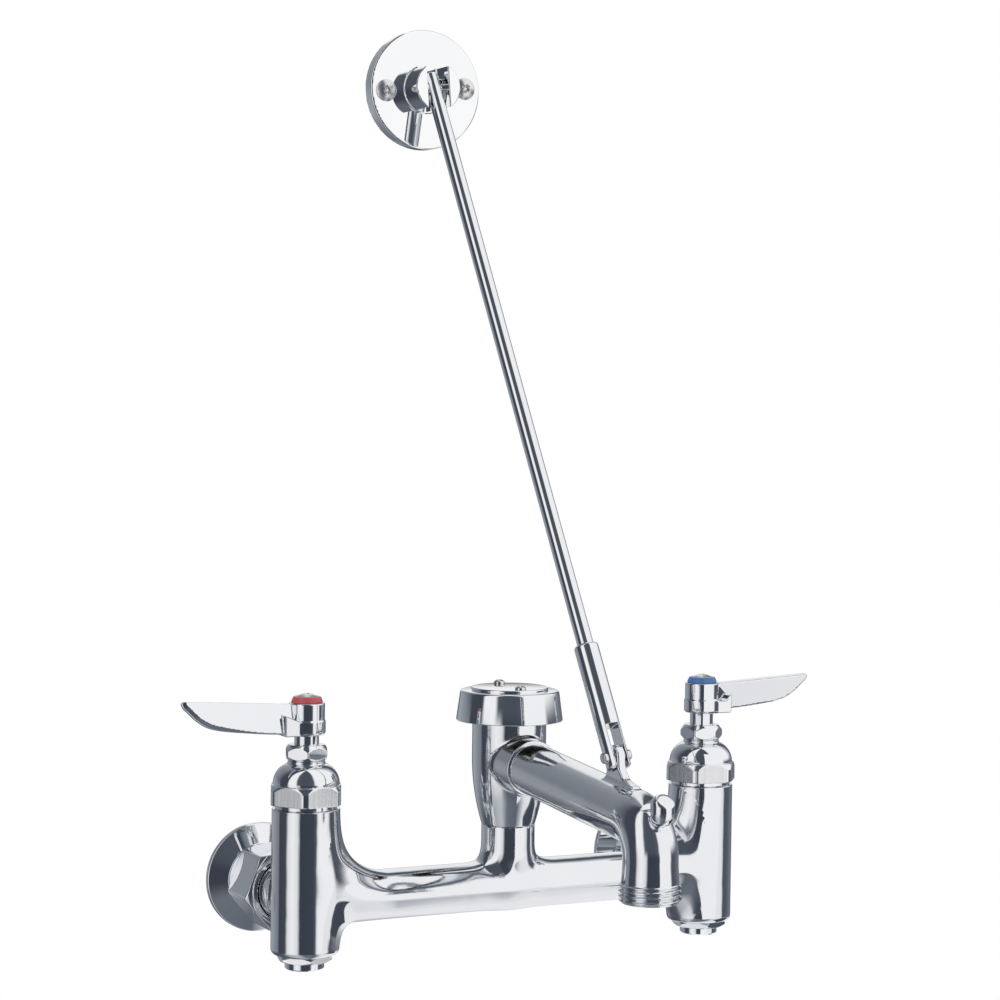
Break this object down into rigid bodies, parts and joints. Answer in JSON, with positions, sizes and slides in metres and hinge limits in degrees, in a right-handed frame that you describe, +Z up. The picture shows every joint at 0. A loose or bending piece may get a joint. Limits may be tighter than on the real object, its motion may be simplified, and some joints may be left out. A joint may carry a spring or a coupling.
{
  "type": "wall faucet",
  "caption": "Wall-mounted commercial sink faucet with lever handles, vacuum breaker, hose-thread spout with pail hook, and an upper brace to the wall",
  "frame": {"origin": "on the wall surface, midway between the centres of the two supply inlets", "axes": "X runs along the wall from the hot side to the cold side, +Y points into the wall, +Z is up"},
  "size_m": [0.3204, 0.2329, 0.4276],
  "materials": {
    "chrome": "polished chrome plate",
    "steel": "plain stainless steel",
    "brass": "machined brass",
    "rubber": "moulded rubber",
    "packing": "plain moulded",
    "hot_index": "gloss red",
    "cold_index": "gloss blue"
  },
  "bodies": {
    "faucet": {"wall_body": "chrome", "hot_wall_flange": "chrome", "hot_coupling_nut": "chrome", "hot_inlet_washer": "rubber", "hot_valve_seat": "brass", "hot_bonnet": "chrome", "hot_packing": "packing", "hot_packing_nut": "chrome", "hot_stop_bonnet": "chrome", "cold_wall_flange": "chrome", "cold_coupling_nut": "chrome", "cold_inlet_washer": "rubber", "cold_valve_seat": "brass", "cold_bonnet": "chrome", "cold_packing": "packing", "cold_packing_nut": "chrome", "cold_stop_bonnet": "chrome", "breaker_body": "chrome", "breaker_cover": "brass", "breaker_cap": "chrome", "breaker_cap_plate": "chrome", "breaker_cap_screws": "steel", "spout": "chrome"},
    "hot_lever": {"hot_handle": "chrome", "hot_stem": "chrome", "hot_index_ring": "hot_index", "hot_handle_screw": "steel"},
    "hot_valve": {"hot_plunger": "brass", "hot_seat_washer": "rubber"},
    "hot_stop_driver": {"hot_stop_spindle": "brass"},
    "hot_stop_valve": {"hot_stop_plug": "brass"},
    "cold_lever": {"cold_handle": "chrome", "cold_stem": "chrome", "cold_index_ring": "cold_index", "cold_handle_screw": "steel"},
    "cold_valve": {"cold_plunger": "brass", "cold_seat_washer": "rubber"},
    "cold_stop_driver": {"cold_stop_spindle": "brass"},
    "cold_stop_valve": {"cold_stop_plug": "brass"},
    "breaker_float": {"breaker_poppet": "packing", "breaker_poppet_seal": "rubber"},
    "brace_fork": {"brace_clevis": "chrome", "clevis_pin": "steel"},
    "brace_bar": {"brace_rod": "chrome"},
    "brace_anchor": {"wall_plate": "chrome", "stub_pin": "steel", "wall_screws": "steel"}
  },
  "joints": [
    {"name": "hot_turn", "type": "hinge", "parent": "faucet", "child": "hot_lever", "pos_m": [-0.1016, -0.0593, 0.08], "axis": [0, 0, 1], "range_deg": [0, 90]},
    {"name": "hot_lift", "type": "slide", "parent": "faucet", "child": "hot_valve", "axis": [0, 0, 1], "range_m": [0, 0.00236]},
    {"name": "hot_stop_turn", "type": "hinge", "parent": "faucet", "child": "hot_stop_driver", "pos_m": [-0.1016, -0.0593, -0.02], "axis": [0, 0, 1], "range_deg": [0, 720]},
    {"name": "hot_stop_rise", "type": "slide", "parent": "faucet", "child": "hot_stop_valve", "axis": [0, 0, 1], "range_m": [0, 0.00427]},
    {"name": "cold_turn", "type": "hinge", "parent": "faucet", "child": "cold_lever", "pos_m": [0.1016, -0.0593, 0.08], "axis": [0, 0, -1], "range_deg": [0, 90]},
    {"name": "cold_lift", "type": "slide", "parent": "faucet", "child": "cold_valve", "axis": [0, 0, 1], "range_m": [0, 0.00236]},
    {"name": "cold_stop_turn", "type": "hinge", "parent": "faucet", "child": "cold_stop_driver", "pos_m": [0.1016, -0.0593, -0.02], "axis": [0, 0, 1], "range_deg": [0, 720]},
    {"name": "cold_stop_rise", "type": "slide", "parent": "faucet", "child": "cold_stop_valve", "axis": [0, 0, 1], "range_m": [0, 0.00427]},
    {"name": "breaker_float_lift", "type": "slide", "parent": "faucet", "child": "breaker_float", "axis": [0, 0, 1], "range_m": [0, 0.003]},
    {"name": "brace_swing", "type": "hinge", "parent": "faucet", "child": "brace_fork", "pos_m": [0, -0.1595, 0.0715], "axis": [0.9969, 0, 0.0785], "range_deg": [0, 100]},
    {"name": "brace_length", "type": "slide", "parent": "brace_fork", "child": "brace_bar", "axis": [-0.0707, 0.4348, 0.8977], "range_m": [-0.006, 0.006]},
    {"name": "anchor_tilt", "type": "hinge", "parent": "brace_bar", "child": "brace_anchor", "pos_m": [-0.0234, -0.0156, 0.3686], "axis": [0.9969, 0, 0.0785], "range_deg": [-30, 90]}
  ],
  "couplings": [
    {"joint": "hot_turn", "follows": "hot_lift", "rad_per_m": 666.67},
    {"joint": "hot_stop_turn", "follows": "hot_stop_rise", "rad_per_m": 2941.2},
    {"joint": "cold_turn", "follows": "cold_lift", "rad_per_m": 666.67},
    {"joint": "cold_stop_turn", "follows": "cold_stop_rise", "rad_per_m": 2941.2}
  ]
}
